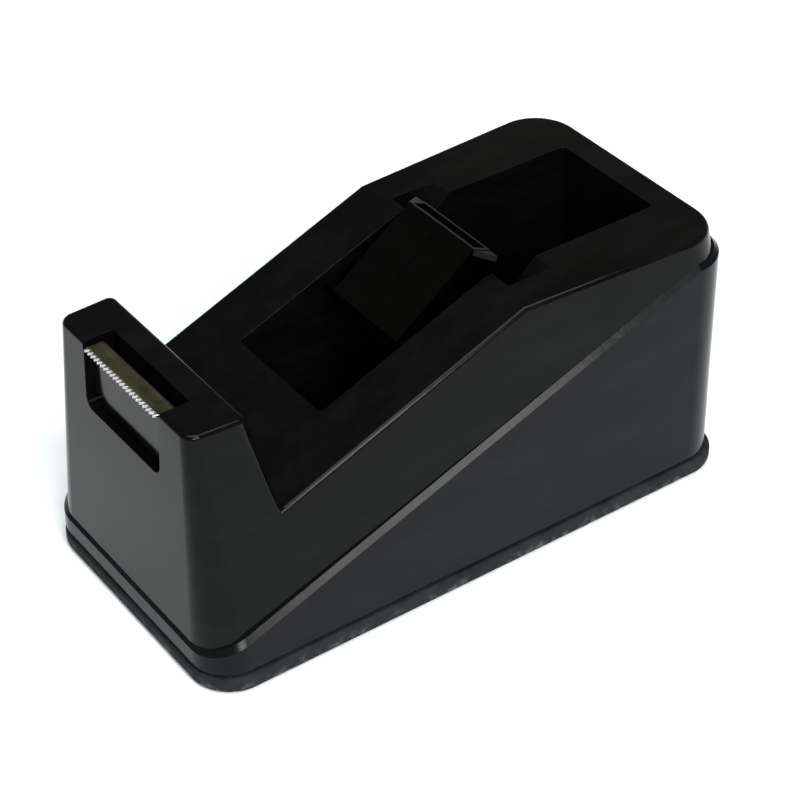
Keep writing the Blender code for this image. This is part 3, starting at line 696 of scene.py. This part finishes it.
def zinc_plate():
    """Bright zinc plate with a faint mottle."""
    material, nodes, links, shader, place = start_material("zinc_plate", ZINC_GREY, 0.3, metallic=1.0)
    mottle = noise(nodes, links, place, scale=1500.0, detail=3.0, roughness=0.5)
    dullness = ranged(nodes, links, mottle, between=(0.3, 0.7), gives=(0.22, 0.42))
    links.new(dullness, shader.inputs["Roughness"])
    bumped(nodes, links, mottle, shader, strength=0.15, distance=0.00004)
    return material


for kind, metal in (("ballast", cast_iron()), ("base_screw", zinc_plate())):
    for name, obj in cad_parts.items():
        if name.startswith(kind):
            obj.data.materials.clear()
            obj.data.materials.append(metal)


# ---- Floor, lights and camera -----------------------------------------------------------------
# The dispenser stands on a white table under a broad overhead softbox. A small round one in front
# lights the nose, and a tilted strip on the right draws a light line along the rim's bevel.

FLOOR_HALF, FLOOR_WHITE, FLOOR_ROUGHNESS = 3.0, (0.86, 0.9, 0.92, 1.0), 0.9
WALL_LIGHT, CEILING_LIGHT, WALL_TO_CEILING = (0.33, 0.35, 0.36), (0.18, 0.18, 0.155), (0.05, 0.55)
CAMERA_PLACE, CAMERA_LENS = (0.26073, -0.18736, 0.26501), 104.0
CAMERA_TILT, CAMERA_ROLL, CAMERA_TURN = math.radians(52.776), math.radians(-0.096), math.radians(54.211)

bm = bmesh.new()
bmesh.ops.create_grid(bm, x_segments=1, y_segments=1, size=FLOOR_HALF)
floor = bpy.data.objects.new("floor", bpy.data.meshes.new("floor"))
bm.to_mesh(floor.data)
bm.free()
bpy.context.scene.collection.objects.link(floor)
floor_white = bpy.data.materials.new("pale_floor")
floor_white.use_nodes = True
floor_white.node_tree.nodes["Principled BSDF"].inputs["Base Color"].default_value = FLOOR_WHITE
floor_white.node_tree.nodes["Principled BSDF"].inputs["Roughness"].default_value = FLOOR_ROUGHNESS
floor.data.materials.append(floor_white)

world = bpy.data.worlds.new("studio")
world.use_nodes = True
nodes, links = world.node_tree.nodes, world.node_tree.links
direction = nodes.new("ShaderNodeTexCoord").outputs["Generated"]
upward = ranged(nodes, links, along(nodes, links, direction, "Z"), between=WALL_TO_CEILING)
links.new(blended(nodes, links, upward, WALL_LIGHT, CEILING_LIGHT), nodes["Background"].inputs["Color"])
bpy.context.scene.world = world
bpy.context.scene.view_settings.view_transform = "Standard"


def softbox(name, place, size, power, length=None, tilt=0.0):
    """A round softbox that faces the dispenser, or with a length, a strip tilted by some degrees."""
    light = bpy.data.lights.new(name, "AREA")
    light.shape, light.size, light.energy = "DISK", size, power
    if length:
        light.shape, light.size_y = "RECTANGLE", length
    obj = bpy.data.objects.new(name, light)
    bpy.context.scene.collection.objects.link(obj)
    obj.location = place
    facing = Vector(place).to_track_quat("Z", "Y") @ Quaternion((0, 0, 1), math.radians(tilt))
    obj.rotation_euler = facing.to_euler()


softbox("overhead", (0.05, 0.0, 1.5), size=1.2, power=18.0)
softbox("front", (1.039, -0.529, 0.70), size=0.4, power=9.5)
softbox("right", (0.977, -0.051, 0.945), size=0.3, power=14.0, length=0.95, tilt=18.3)

camera = bpy.data.objects.new("camera", bpy.data.cameras.new("camera"))
bpy.context.scene.collection.objects.link(camera)
camera.location = CAMERA_PLACE
camera.rotation_euler = (CAMERA_TILT, CAMERA_ROLL, CAMERA_TURN)
camera.data.lens = CAMERA_LENS
bpy.context.scene.camera = camera
